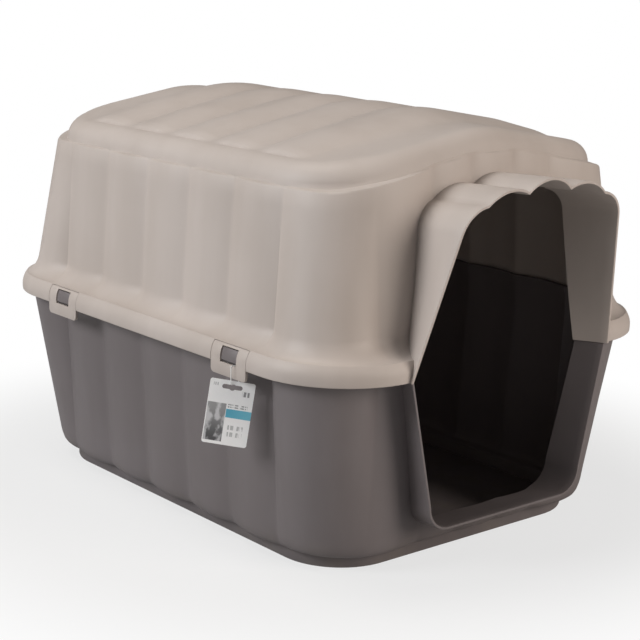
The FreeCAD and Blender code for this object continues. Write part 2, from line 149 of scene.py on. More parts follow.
def fluted_ring(height, inset=0.0):
    """Outline of the walls at one height."""
    fall = abs(height - PARTING)
    cusp = CUSP_INSET + DRAFT * fall + inset
    crown = RIM_CORNER - CORNER_INSET - CORNER_DRAFT * fall - inset
    side = HALF_WIDTH - cusp + flutes(SIDE, SIDE_CUSPS)
    end = HALF_LENGTH - cusp + flutes(END, END_CUSPS)
    tip = (HALF_WIDTH - RIM_CORNER + crown * cos(CORNER_AIM),
           HALF_LENGTH - RIM_CORNER + crown * sin(CORNER_AIM))
    corner = arc((side[-1], SIDE[-1]), tip, (END[0], end[0]), CORNER_STEPS)
    return whole_ring(side, end, corner)


def smooth_ring(inset, radius):
    """Rounded rectangle, set in from the rim face, with its points opposite the walls' points."""
    x, y = HALF_WIDTH - inset, HALF_LENGTH - inset
    centre = np.array((x - radius, y - radius))

    def reach(places, across, middle):
        over = np.clip(np.abs(places) - middle, 0, radius)
        return across - radius + np.sqrt(radius ** 2 - over ** 2)

    side = reach(SIDE, x, centre[1])
    end = reach(END, y, centre[0])
    turn = np.linspace(0, pi / 2, ARC_POINTS)
    path = centre + radius * np.column_stack([np.cos(turn), np.sin(turn)])
    first, last = np.array((side[-1], SIDE[-1])), np.array((END[0], end[0]))
    path = np.vstack([[first], path[(path[:, 1] > first[1]) & (path[:, 0] > last[0])], [last]])
    run = np.concatenate([[0], np.cumsum(np.linalg.norm(np.diff(path, axis=0), axis=1))])
    where = np.array(CORNER_STEPS) * run[-1]
    corner = np.column_stack([np.interp(where, run, path[:, k]) for k in (0, 1)])
    return whole_ring(side, end, corner)


wall_foot = fluted_ring(PARTING)
print("points in a ring:", len(wall_foot), "width:", round(np.ptp(wall_foot[:, 0]), 4))

# %% [markdown]
# ## The roof's skin
# The roof is one thin moulding, so it is made as a thin skin first: a ring of points at the lower
# edge of the rim is extruded up the rim band, in along the flare to the walls, up the flutes, over
# the ledge and round the shoulder. Soft corners are extra rings, as a mould has them. The top is a
# grid, because its five cross ribs run straight over it, and is bridged to the last ring.

# %% Extrude a ring of points into a skin
def extrude_rings(mesh, rings):
    """Draws the first ring, extrudes it from ring to ring and returns its last edges."""
    verts = [mesh.verts.new(p) for p in rings[0]]
    edges = [mesh.edges.new(pair) for pair in zip(verts, verts[1:] + verts[:1])]
    for ring in rings[1:]:
        made = bmesh.ops.extrude_edge_only(mesh, edges=edges)["geom"]
        fresh = {v for v in made if isinstance(v, bmesh.types.BMVert)}
        edges = [e for e in made if isinstance(e, bmesh.types.BMEdge)
                 and e.verts[0] in fresh and e.verts[1] in fresh]
        verts = [next(e.other_vert(v) for e in v.link_edges if e.other_vert(v) in fresh)
                 for v in verts]
        for vert, place in zip(verts, ring):
            vert.co = place
    return edges


def lifted(ring, height):
    """Ring of points in space from a ring seen from above and its height or heights."""
    return np.column_stack([ring, np.broadcast_to(height, len(ring))])


def toward(a, b, distance, furthest=0.85):
    """Ring a, moved towards ring b by a distance, but never quite reaching it."""
    step = b - a
    length = np.linalg.norm(step, axis=1, keepdims=True)
    return a + step * np.minimum(distance / np.maximum(length, 1e-6), furthest)


# %% Heights over the roof
RIM_TOP = 0.302                # height at which the rim's round face would close
RIM_ROUND = 0.028              # radius of that face
EAVE = 0.4975                  # height of the ledge along the sides
EAVE_START = 0.245             # start of its climb, from the middle plane
EAVE_SLOPE = 0.188
EAVE_FLAT = 0.06               # half length of its arched middle
EAVE_CROWN = 0.003
CAP_INSET = 0.054              # foot of the cap, in from the rim face
CAP_CORNER = 0.122
CAP_SLOPE = 0.17
CAP_APEX = 0.568               # height where the two slopes would meet
RIDGE_RADIUS = 0.24
SHOULDER = 0.03
RIB_HALF = 0.05                # half width of a rib where it ends
RIB_RISE = 0.0135
RIB_REACH = 0.216              # end of its full height, from the middle plane
RIB_TOE = 0.026                # length of the rounded toe beyond it
RIB_SPREAD = 0.02              # how much wider a rib is at the ridge
RIB_SOFT = 0.003               # softness of its joint with the roof
RIB_LOW = 0.6                  # share of its rise where the toe starts
RIB_SWELL = 0.3                # share of its reach over which it gains the rest
TOE_NARROW = 0.6
TOE_FALL = 0.75
TOE_DIP = 0.003                # how far a toe's tip sinks into the roof


def ledge_height(x):
    """The ledge is level along the sides and climbs to a low arch over each end."""
    out = np.abs(x)
    climb = EAVE_SLOPE * np.clip(EAVE_START - np.maximum(out, EAVE_FLAT), 0, None)
    return EAVE + climb + EAVE_CROWN * (1 - np.minimum(out / EAVE_FLAT, 1) ** 2)


def gable_height(x):
    """Two slopes with a round ridge between them."""
    half = RIDGE_RADIUS * sin(atan(CAP_SLOPE))
    out = np.abs(x)
    crown = CAP_APEX - CAP_SLOPE * half - sqrt(RIDGE_RADIUS ** 2 - half ** 2)
    ridge = crown + np.sqrt(RIDGE_RADIUS ** 2 - np.minimum(out, half) ** 2)
    return np.where(out > half, CAP_APEX - CAP_SLOPE * out, ridge)


def rib_height(x, y, middle):
    """One cross rib: a wide arch that ends in a rounded toe down each slope."""
    out = np.abs(x)
    along = np.clip((RIB_REACH - out) / RIB_REACH, 0, 1)
    toe = np.clip((out - RIB_REACH) / RIB_TOE, 0, 1)
    half = (RIB_HALF + RIB_SPREAD * along) * np.sqrt(1 - TOE_NARROW * toe ** 2)
    share = np.clip(1 - ((y - middle) / half) ** 2, -1.5, 1)
    swell = RIB_LOW + (1 - RIB_LOW) * np.clip(along / RIB_SWELL, 0, 1)
    rise = RIB_RISE * swell * (1 - toe ** 2) ** TOE_FALL
    return gable_height(x) + rise * share - TOE_DIP * toe


def softer_max(a, b, soft):
    """The higher of two heights, with a rounded valley where they cross."""
    blend = np.clip(0.5 + 0.5 * (a - b) / soft, 0, 1)
    return b + (a - b) * blend + soft * blend * (1 - blend)


def roof_height(x, y):
    """The gable with its five ribs, softly joined."""
    ribs = None
    for a, b in zip(SIDE_CUSPS, SIDE_CUSPS[1:]):
        rib = rib_height(x, y, (a + b) / 2)
        ribs = rib if ribs is None else softer_max(ribs, rib, RIB_SOFT)
    return softer_max(ribs, gable_height(x), RIB_SOFT)


print("ridge:", round(float(roof_height(np.array([0.0]), np.array([0.0]))[0]), 4),
      "ledge over the door:", round(float(ledge_height(0.0)), 4))

# %% Rings of the roof, from the rim to the shoulder
LIP = 0.0025                   # rounded lower edge of the rim band
LIP_CURVE = ((0.5, 0), (0.12, 0.35), (0, 1))        # shares of the lip, inwards and up
BAND_TOP = 0.2926              # crisp upper edge of the rim band, where the walls flare out to it
BAND_SOFT = 0.05               # turn between the last two rings of the band
FLARE = 0.026                  # height of the flare
FLARE_STEPS = (0.03, 0.1, 0.2, 0.32, 0.44, 0.56, 0.68, 0.79, 0.9, 1)
BROW = 0.0035                  # rounded outer edge of the ledge
LEDGE_RISE = 0.0006
LEDGE_SHARE = 0.12             # how far a fold in the ledge stays from the foot of the cap
CAP_FOOT = 0.003               # least height of the shoulder's foot over the ledge
SPAN = (0.01, 0.05)            # heights below and above the eave between which the ledge is found


def ledge_walls():
    """Walls at the ledge. The corners lean, so their height is found in a few steps."""
    height = ledge_height(fluted_ring(EAVE)[:, 0])
    below, above = SPAN
    low, high = (fluted_ring(h) for h in (EAVE - below, EAVE + above))
    for _ in range(3):
        share = ((height - EAVE + below) / (below + above))[:, None]
        ring = low * (1 - share) + high * share
        height = ledge_height(ring[:, 0])
    return ring, height


def roof_rings():
    """Rings from the lower edge of the rim up to the shoulder of the cap."""
    rings = [lifted(smooth_ring(LIP * inset, RIM_CORNER - LIP * inset), PARTING + LIP * up)
             for inset, up in LIP_CURVE]
    last = asin(1 - (RIM_TOP - BAND_TOP) / RIM_ROUND)
    for turn in list(np.linspace(0, last - BAND_SOFT, 6)) + [last]:
        inset = RIM_ROUND * (1 - cos(turn))
        rings.append(lifted(smooth_ring(inset, RIM_CORNER - inset),
                            RIM_TOP - RIM_ROUND * (1 - sin(turn))))
    band = rings[-1][:, :2]
    for turn in np.array(FLARE_STEPS) * pi / 2:
        z = BAND_TOP + FLARE * (1 - cos(turn))
        rings.append(lifted(band + (fluted_ring(z) - band) * sin(turn), z))
    top, height = ledge_walls()
    start = BAND_TOP + FLARE
    low = fluted_ring(start)
    for share in np.linspace(0, 1, 9)[1:]:
        z = start + (height - BROW - start) * share
        reach = ((z - start) / (height - start))[:, None]
        rings.append(lifted(low + (top - low) * reach, z))
    cap = smooth_ring(CAP_INSET, CAP_CORNER)
    rings.append(lifted(toward(top, cap, BROW * 0.3), height - BROW * 0.3))
    rings.append(lifted(toward(top, cap, BROW), height))
    rings.append(lifted(cap + (top - cap) * LEDGE_SHARE, height + LEDGE_RISE))
    edge = gable_height(smooth_ring(CAP_INSET + SHOULDER, CAP_CORNER - SHOULDER)[:, 0])
    for turn in np.linspace(0, pi / 2, 10):
        inset = SHOULDER * (1 - cos(turn))
        ring = smooth_ring(CAP_INSET + inset, CAP_CORNER - inset)
        z = edge - SHOULDER * (1 - sin(turn))
        least = height + CAP_FOOT * (1 + turn)
        rings.append(lifted(ring, np.maximum(z, least)))
    return rings


# %% Make the roof's top and its skin
ROWS = 9                       # rows of the grid over half a rib
ROW_CROWD = 1.6                # above 1, rows crowd at the valleys
BORDER_STEPS = (0, 0.12, 0.3, 0.5, 0.7, 0.88, 1)
TOE_START = 0.86               # share of the half width from which columns are closer
TOP_EDGE = CAP_INSET + SHOULDER + 0.003


def top_rows():
    """Places of the grid's rows from end to end, close together at the valleys."""
    share = np.linspace(0, 1, ROWS + 1)[1:] ** ROW_CROWD
    half = RIB_HALF * share
    rows = []
    for a, b in zip(SIDE_CUSPS, SIDE_CUSPS[1:]):
        rows += [a] + list(a + half) + list(b - half[::-1][1:])
    end = HALF_LENGTH - TOP_EDGE
    border = SIDE_CUSPS[-1] + (end - SIDE_CUSPS[-1]) * np.array(BORDER_STEPS)
    return np.array(list(-border[::-1]) + rows[1:] + list(border))


def add_top(mesh, last):
    """Lays the ribbed grid inside the last ring and bridges the two."""
    rows = top_rows()
    edge = np.concatenate([np.linspace(0, TOE_START, 21), np.linspace(TOE_START + 0.01, 1, 14)])
    columns = np.concatenate([-edge[::-1][:-1], edge])
    radius = CAP_CORNER - TOP_EDGE + CAP_INSET
    width = HALF_WIDTH - TOP_EDGE
    over = np.clip(np.abs(rows) - (HALF_LENGTH - TOP_EDGE - radius), 0, radius)
    reach = width - radius + np.sqrt(radius ** 2 - over ** 2)
    grid = bmesh.ops.create_grid(mesh, x_segments=len(columns) - 1, y_segments=len(rows) - 1,
                                 size=1)["verts"]
    for i, vert in enumerate(grid):
        row, column = divmod(i, len(columns))
        x, y = columns[column] * reach[row], rows[row]
        vert.co = (x, y, roof_height(np.array([x]), np.array([y]))[0])
    border = [e for e in {e for v in grid for e in v.link_edges} if len(e.link_faces) == 1]
    bmesh.ops.bridge_loops(mesh, edges=border + last)


def finished(mesh, name, body, smooth=True):
    """Turns a bmesh into a piece that rides on a body."""
    data = bpy.data.meshes.new(name)
    mesh.to_mesh(data)
    mesh.free()
    for face in data.polygons:
        face.use_smooth = smooth
    piece = bpy.data.objects.new(name, data)
    bpy.context.scene.collection.objects.link(piece)
    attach(piece, body)
    return piece


skin = bmesh.new()
add_top(skin, extrude_rings(skin, roof_rings()))
bmesh.ops.recalc_face_normals(skin, faces=skin.faces)
if sum(f.normal.z * f.calc_area() for f in skin.faces) < 0:
    bmesh.ops.reverse_faces(skin, faces=skin.faces)
roof = finished(skin, "roof_moulding", "roof")
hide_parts("roof_shell")
print("roof faces:", len(roof.data.polygons))

# %% [markdown]
# ## Thickness, notches and the way in
# Both mouldings are four millimetres thick everywhere. The skin is thickened inwards, and the room
# for the four snap tabs and for the doorway is cut out of it. Cutters are made like everything
# else, used once and taken away.

# %% Modifiers written into a mesh
ROOT = 0.35                    # plane inside the end wall where hood and frame start
TAB_MIDDLES = (-0.2095, 0.1965)


def settle(piece):
    """Writes a piece's modifiers into its mesh."""
    graph = bpy.context.evaluated_depsgraph_get()
    fresh = bpy.data.meshes.new_from_object(piece.evaluated_get(graph))
    worn = piece.data
    piece.modifiers.clear()
    piece.data = fresh
    bpy.data.meshes.remove(worn)


def thicken(piece, thickness=WALL):
    walls = piece.modifiers.new("walls", "SOLIDIFY")
    walls.thickness = thickness
    walls.offset = -1
    settle(piece)


def combine(piece, mesh, operation):
    """Cuts a bmesh out of a piece, or joins it on, and throws the bmesh away."""
    bmesh.ops.recalc_face_normals(mesh, faces=mesh.faces)
    data = bpy.data.meshes.new("tool")
    mesh.to_mesh(data)
    mesh.free()
    tool = bpy.data.objects.new("tool", data)
    bpy.context.scene.collection.objects.link(tool)
    step = piece.modifiers.new("step", "BOOLEAN")
    step.operation = operation
    step.solver = "MANIFOLD"
    step.object = tool
    settle(piece)
    bpy.data.objects.remove(tool)
    bpy.data.meshes.remove(data)


def block(low, high):
    mesh = bmesh.new()
    size = [b - a for a, b in zip(low, high)]
    middle = [(a + b) / 2 for a, b in zip(low, high)]
    bmesh.ops.create_cube(mesh, size=1, matrix=Matrix.Translation(middle)
                          @ Matrix.Diagonal((*size, 1)))
    return mesh


# %% Outlines of the doorway
HOOD_MOUTH = ((0.185, 0.266), (0.146, 0.453), (0.1325, 0.477), (0.1065, 0.4885),
              (0.072, 0.505), (0.038, 0.4995), (0, 0.515))
HOOD_BACK = ((0.15, 0.266), (0.137, 0.449), (0.1275, 0.471), (0.1065, 0.482),
             (0.072, 0.4995), (0.038, 0.4945), (0, 0.509))
HOOD_SHIFT = ((1, 0), (1, 0.25), (0.7, 0.7), (0, 1), (0, 1), (0, 1), (0, 1))
FRAME_MOUTH = ((0.181, 0.266), (0.143, 0.095), (0.1335, 0.0705), (0.108, 0.0585))
FRAME_BACK = ((0.158, 0.266), (0.131, 0.095), (0.123, 0.066), (0.098, 0.05))
FRAME_SHIFT = ((1, 0), (1, 0), (0.7, -0.7), (0, -1))
HOOD_LEAN = 0.193
HOOD_PROUD = 0.0045
FRAME_FRONT = 0.408
FRAME_GAP = 0.001              # between the frame's head and the hood


def moved(points, shifts, skin):
    """Corners of an outline, moved in by the thickness of the skin."""
    return [(x - skin * a, z - skin * b) for (x, z), (a, b) in zip(points, shifts)]


def mirrored(half):
    """Outline from the left foot to the right foot, from its right half, which starts at x = 0."""
    return np.vstack([half[:0:-1] * (-1, 1), half])


def hood_outline(points, skin):
    """Scalloped arch, listed from the left foot over the top to the right foot."""
    foot, shoulder, corner, valley, scallop, inner, middle = moved(points, HOOD_SHIFT, skin)
    steps = np.linspace(0, 1, 11)
    half = np.vstack([
        arc((-inner[0], inner[1]), middle, inner, np.linspace(0.5, 1, 9)),
        arc(inner, scallop, valley, steps)[1:], arc(valley, corner, shoulder, steps)[1:],
        np.linspace(shoulder, foot, 13)[1:]])
    half[0, 0] = 0
    return mirrored(half)


def frame_outline(points, skin):
    """U of the base's doorway, listed from its left head under the sill to its right head."""
    top, shoulder, corner, sill = moved(points, FRAME_SHIFT, skin)
    half = np.vstack([
        np.linspace((0, sill[1]), sill, 6), arc(sill, corner, shoulder, np.linspace(0, 1, 11))[1:],
        np.linspace(shoulder, (top[0], PARTING - FRAME_GAP), 13)[1:]])
    return mirrored(half)


def in_space(outline, y):
    return np.column_stack([outline[:, 0], np.broadcast_to(y, len(outline)), outline[:, 1]])


def hood_front(outline):
    return in_space(outline, -HALF_LENGTH - HOOD_PROUD - HOOD_LEAN * (outline[:, 1] - PARTING))


print("points in the hood's mouth:", len(hood_outline(HOOD_MOUTH, 0)))


# %% A tube that starts in the front wall
def wall_face(x, z):
    """Outer face of the front wall."""
    order = np.argsort(x)
    rise = np.zeros(len(x))
    rise[order] = flutes(np.append(x[order], 1), END_CUSPS)[:-1]
    return -(HALF_LENGTH - CUSP_INSET - DRAFT * np.abs(z - PARTING) + rise)


START_SHY = 0.0006             # how far a tube's root stands inside the wall's inner face
LIP_SHARES = (0.15, 0.5, 0.85)
CUT_SHARES = (-0.35, 1.15)     # cutters reach past both ends of the way they cut


def start_share(back, front):
    """How far along each line from back to front the inner face of the wall lies."""
    share = np.zeros(len(back))
    for _ in range(3):
        at = back + (front - back) * share[:, None]
        target = wall_face(at[:, 0], at[:, 2]) + WALL + START_SHY
        share = (target - back[:, 1]) / (front[:, 1] - back[:, 1])
    return share


def tube(outer, inner, lip=0.0016):
    """Shell between two pairs of outlines, with a rounded lip at its mouth."""
    shares = np.linspace(0, 1, 6)
    start = start_share(*outer)[:, None]
    end = 1 - lip / np.linalg.norm(outer[1] - outer[0], axis=1)[:, None]
    walls = []
    for back, front in (outer, inner):
        walls.append([back + (front - back) * (start + (end - start) * s) for s in shares])
    lips = [outer[1] + (inner[1] - outer[1]) * s for s in LIP_SHARES]
    rings = np.array(walls[0] + lips + walls[1][::-1]).transpose(1, 0, 2)
    mesh = bmesh.new()
    last = extrude_rings(mesh, list(rings))
    first = [e for e in mesh.edges if e.is_boundary and e not in last]
    bmesh.ops.contextual_create(mesh, geom=first)
    bmesh.ops.contextual_create(mesh, geom=last)
    return mesh


def passage(back, front, drop):
    """Solid between two outlines, closed by a level line, that cuts the way through a wall."""
    rings = []
    for share in CUT_SHARES:
        ring = back + (front - back) * share
        ends = ring[[-1, 0]].copy()
        ends[:, 2] += drop
        rings.append(np.vstack([ring, ends]))
    mesh = bmesh.new()
    last = extrude_rings(mesh, rings)
    first = [e for e in mesh.edges if e.is_boundary and e not in last]
    bmesh.ops.contextual_create(mesh, geom=first)
    bmesh.ops.contextual_create(mesh, geom=last)
    return mesh


# %% Finish the roof moulding
TAB_HALF = 0.0376              # half width of the notch for a tab
NOTCH_DEEP = 0.0115
BAND_SKIN = 0.0002             # of the band's top edge, left over a notch
PASSAGE_DROP = 0.03            # how far the cutter for the way in reaches below the hood
thicken(roof)
for side in (-1, 1):
    for middle in TAB_MIDDLES:
        ends = sorted((side * (HALF_WIDTH + WALL), side * (HALF_WIDTH - NOTCH_DEEP)))
        combine(roof, block((ends[0], middle - TAB_HALF, PARTING - WALL),
                            (ends[1], middle + TAB_HALF, BAND_TOP - BAND_SKIN)), "DIFFERENCE")
hood_lines = [(in_space(hood_outline(HOOD_BACK, skin), -ROOT),
               hood_front(hood_outline(HOOD_MOUTH, skin)))
              for skin in (0, WALL, WALL / 2)]
combine(roof, passage(*hood_lines[2], -PASSAGE_DROP), "DIFFERENCE")
combine(roof, tube(*hood_lines[:2]), "UNION")
print("roof faces:", len(roof.data.polygons),
      "box:", [round(v, 3) for v in roof.dimensions])

# %% [markdown]
# ## The base
# The base is made in the same way: a plinth, an underside, a curled foot, and fluted walls that
# lean out up to the parting and in again above it, where they stand inside the rim of the roof.

# %% Rings of the base
FRAME_ROOM = 0.186             # half width of the opening over the frame
FRAME_NEAR, FRAME_FAR = 0.3, 0.45                  # its reach through the front wall
FRAME_OVER = 0.31              # its top, above the heads of the walls
FRAME_RISE = 0.05              # how far the cutter for the way in reaches above the frame
PLINTH_INSET = 0.071
PLINTH_CORNER = 0.09
PLINTH_CURVE = ((0.003, 0), (0.0009, 0.0006), (0, 0.0025), (0, 0.017), (-0.0009, 0.0192))
FOOT = 0.02
FOOT_FLARE = 0.003             # cove between the plinth and the foot of the walls
FOOT_CURL = ((0, 0.0125), (0.0006, 0.0095), (0.0022, 0.0065), (0.005, 0.0038), (0.009, 0.0018),
             (0.015, 0.0006), (0.022, 0))
HEAD = ((0.012, 0), (0.025, 0), (0.033, 0.0024), (0.042, 0.005))   # over the parting, set in


def base_rings():
    """Rings from the edge of the underside up to the heads of the walls."""
    rings = []
    for inset, z in PLINTH_CURVE + ((-FOOT_FLARE, FOOT),):
        rings.append(lifted(smooth_ring(PLINTH_INSET + inset, PLINTH_CORNER - inset), z))
    for up, curl in FOOT_CURL:
        rings.append(lifted(fluted_ring(FOOT + up, curl), FOOT + up))
    for z in np.linspace(FOOT + FOOT_CURL[-1][0], PARTING, 9)[1:]:
        rings.append(lifted(fluted_ring(z), z))
    for up, lean in HEAD:
        rings.append(lifted(fluted_ring(PARTING + up, lean), PARTING + up))
    return rings


skin = bmesh.new()
edges = extrude_rings(skin, base_rings())
bottom = [e for e in skin.edges if e.is_boundary and e.verts[0].co.z < 0.001]
bmesh.ops.contextual_create(skin, geom=bottom)
bmesh.ops.recalc_face_normals(skin, faces=skin.faces)
if min(skin.faces, key=lambda f: f.calc_center_median().z).normal.z > 0:
    bmesh.ops.reverse_faces(skin, faces=skin.faces)
base = finished(skin, "base_moulding", "base")
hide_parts("base_shell")
thicken(base)
frame_lines = [(in_space(frame_outline(FRAME_BACK, skin), -ROOT),
                in_space(frame_outline(FRAME_MOUTH, skin), -FRAME_FRONT))
               for skin in (0, WALL, WALL / 2)]
combine(base, passage(*frame_lines[2], FRAME_RISE), "DIFFERENCE")
combine(base, block((-FRAME_ROOM, -FRAME_FAR, PARTING - FRAME_GAP),
                    (FRAME_ROOM, -FRAME_NEAR, FRAME_OVER)), "DIFFERENCE")
combine(base, tube(*frame_lines[:2]), "UNION")
print("base faces:", len(base.data.polygons), "box:", [round(v, 3) for v in base.dimensions])

# %% [markdown]
# ## Lugs and snap tabs
# Four hollow lugs of the base stand in the windows of four tabs. Lug and tab both follow the round
# of the rim, so their faces are drawn from one curve.

# %% Lugs of the base
WINDOW_FOOT = 0.268
WINDOW_HEAD = 0.289
WINDOW_HALF = 0.017
LUG_GAP = 0.0012               # lug to the sides and head of its window
LUG_FOOT_GAP = 0.0028          # lug to the bar under it, with room for the loop
LUG_SHY = 0.001                # lug face behind the tab's face
LUG_WALL = 0.003
LUG_SOFT = 0.0009              # bevel of its front edges
LUG_HOLLOW = 0.0125            # depth of the hollow under a lug
LUG_SHELF = 0.006              # length of the slope behind the lug's face
LUG_DROP = 0.0042              # fall of that slope, which clears the window's leaning head


def rim_round(z, shy=0.0):
    """Distance of the rim's round face from the middle plane at a height."""
    radius = RIM_ROUND - shy
    over = np.clip(z - (RIM_TOP - RIM_ROUND), 0, radius)
    return HALF_WIDTH - RIM_ROUND + np.sqrt(radius ** 2 - over ** 2)


def lug(side, middle):
    """Hollow lug, open underneath, with soft edges."""
    foot, head, half = WINDOW_FOOT + LUG_FOOT_GAP, WINDOW_HEAD - LUG_GAP, WINDOW_HALF - LUG_GAP
    near = flutes(np.array((middle - half, middle + half)), SIDE_CUSPS).min()
    deep = HALF_WIDTH - CUSP_INSET + near - WALL / 2
    path = [(deep, foot)] + [(rim_round(z, LUG_SHY), z) for z in np.linspace(foot, head, 8)]
    path += [(path[-1][0] - LUG_SHELF, head - LUG_DROP), (deep, head - LUG_DROP)]
    mesh = bmesh.new()
    face = mesh.faces.new([mesh.verts.new((side * x, middle - half, z)) for x, z in path])
    made = bmesh.ops.extrude_face_region(mesh, geom=[face])["geom"]
    verts = [v for v in made if isinstance(v, bmesh.types.BMVert)]
    bmesh.ops.translate(mesh, verts=verts, vec=(0, 2 * half, 0))
    bmesh.ops.recalc_face_normals(mesh, faces=mesh.faces)
    under = min(mesh.faces, key=lambda f: f.calc_center_median().z)
    bmesh.ops.inset_individual(mesh, faces=[under], thickness=LUG_WALL)
    bmesh.ops.translate(mesh, verts=under.verts, vec=(0, 0, LUG_HOLLOW))
    sharp = [e for e in mesh.edges if len(e.link_faces) == 2 and e.calc_face_angle() > 1
             and min(abs(v.co.x) for v in e.verts) > deep + 0.002]
    bmesh.ops.bevel(mesh, geom=sharp, affect="EDGES", offset=LUG_SOFT, segments=2, profile=0.5,
                    material=-1)
    return mesh


for side in (-1, 1):
    for middle in TAB_MIDDLES:
        combine(base, lug(side, middle), "UNION")
print("base faces with lugs:", len(base.data.polygons))

# %% Snap tabs
TAB_FOOT = 0.251
TAB_HEAD = 0.292
TAB_ROUND = 0.006
TAB_SOFT = 0.0007              # bevel of its edges
TAB_REACH = 0.037              # half width of a tab
CURVE_START = 0.2745           # height over which the sheet is cut finely, to follow the rim
CURVE_STEP = 0.0025


def tab_sheet(middle):
    """The tab's face, drawn flat with its window open."""
    turn = np.linspace(0, pi / 2, 7)
    y = TAB_REACH - TAB_ROUND + TAB_ROUND * np.sin(turn)
    z = TAB_FOOT + TAB_ROUND - TAB_ROUND * np.cos(turn)
    outline = [(middle + a, b) for a, b in zip(y, z)]
    outline += [(middle + TAB_REACH, TAB_HEAD), (middle - TAB_REACH, TAB_HEAD)]
    outline += [(middle - a, b) for a, b in zip(y[::-1], z[::-1])]
    mesh = bmesh.new()
    mesh.faces.new([mesh.verts.new((0, a, b)) for a, b in outline])
    levels = [WINDOW_FOOT, WINDOW_HEAD] + list(np.arange(CURVE_START, TAB_HEAD, CURVE_STEP))
    for level in levels:
        bmesh.ops.bisect_plane(mesh, geom=mesh.verts[:] + mesh.edges[:] + mesh.faces[:],
                               plane_co=(0, 0, level), plane_no=(0, 0, 1))
    for edge in (-WINDOW_HALF, WINDOW_HALF):
        bmesh.ops.bisect_plane(mesh, geom=mesh.verts[:] + mesh.edges[:] + mesh.faces[:],
                               plane_co=(0, middle + edge, 0), plane_no=(0, 1, 0))
    window = [f for f in mesh.faces
              if abs(f.calc_center_median().y - middle) < WINDOW_HALF
              and WINDOW_FOOT < f.calc_center_median().z < WINDOW_HEAD]
    bmesh.ops.delete(mesh, geom=window, context="FACES")
    return mesh


def snap_tab(side, middle, name):
    mesh = tab_sheet(middle)
    for vert in mesh.verts:
        vert.co.x = side * rim_round(vert.co.z)
    bmesh.ops.recalc_face_normals(mesh, faces=mesh.faces)
    if next(iter(mesh.faces)).normal.x * side < 0:
        bmesh.ops.reverse_faces(mesh, faces=mesh.faces)
    tab = finished(mesh, name + "_moulding", name, smooth=False)
    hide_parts("snap_" + name)
    thicken(tab)
    edge = tab.modifiers.new("edge", "BEVEL")
    edge.width = TAB_SOFT
    edge.segments = 2
    edge.limit_method = "ANGLE"
    edge.angle_limit = radians(40)
    settle(tab)
    return tab


tabs = []
for side, hand in ((-1, "left"), (1, "right")):
    for middle, end in zip(TAB_MIDDLES, ("front", "rear")):
        tabs.append(snap_tab(side, middle, f"tab_{hand}_{end}"))
for piece in [roof, base] + tabs:
    piece.data.set_sharp_from_angle(angle=radians(32))
print("tabs:", [tab.name for tab in tabs])


def report_closed(piece):
    """Prints whether a piece is closed and how much plastic it takes."""
    mesh = bmesh.new()
    mesh.from_mesh(piece.data)
    loose = sum(not e.is_manifold for e in mesh.edges)
    litres = round(mesh.calc_volume() * 1000, 2)
    print(piece.name, "open edges:", loose, "litres of plastic:", litres)
    mesh.free()


for piece in [roof, base] + tabs:
    report_closed(piece)

# %% [markdown]
# ## Painting with sums
# Every finish is worked out from the place on the object, with no picture. A socket is wrapped, so
# that shader maths can be written as ordinary sums.

# %% A wrapper for sockets
class Sum:
    """A socket of a finish that can be added, multiplied and compared."""

    def __init__(self, finish, socket):
        self.finish, self.socket = finish, socket

    def __add__(self, other):
        return self.finish.maths("ADD", self, other)

    def __sub__(self, other):
        return self.finish.maths("SUBTRACT", self, other)

    def __rsub__(self, other):
        return self.finish.maths("SUBTRACT", other, self)

    def __mul__(self, other):
        return self.finish.maths("MULTIPLY", self, other)

    def __gt__(self, other):
        return self.finish.maths("GREATER_THAN", self, other)

    def __lt__(self, other):
        return self.finish.maths("LESS_THAN", self, other)

    __radd__, __rmul__ = __add__, __mul__


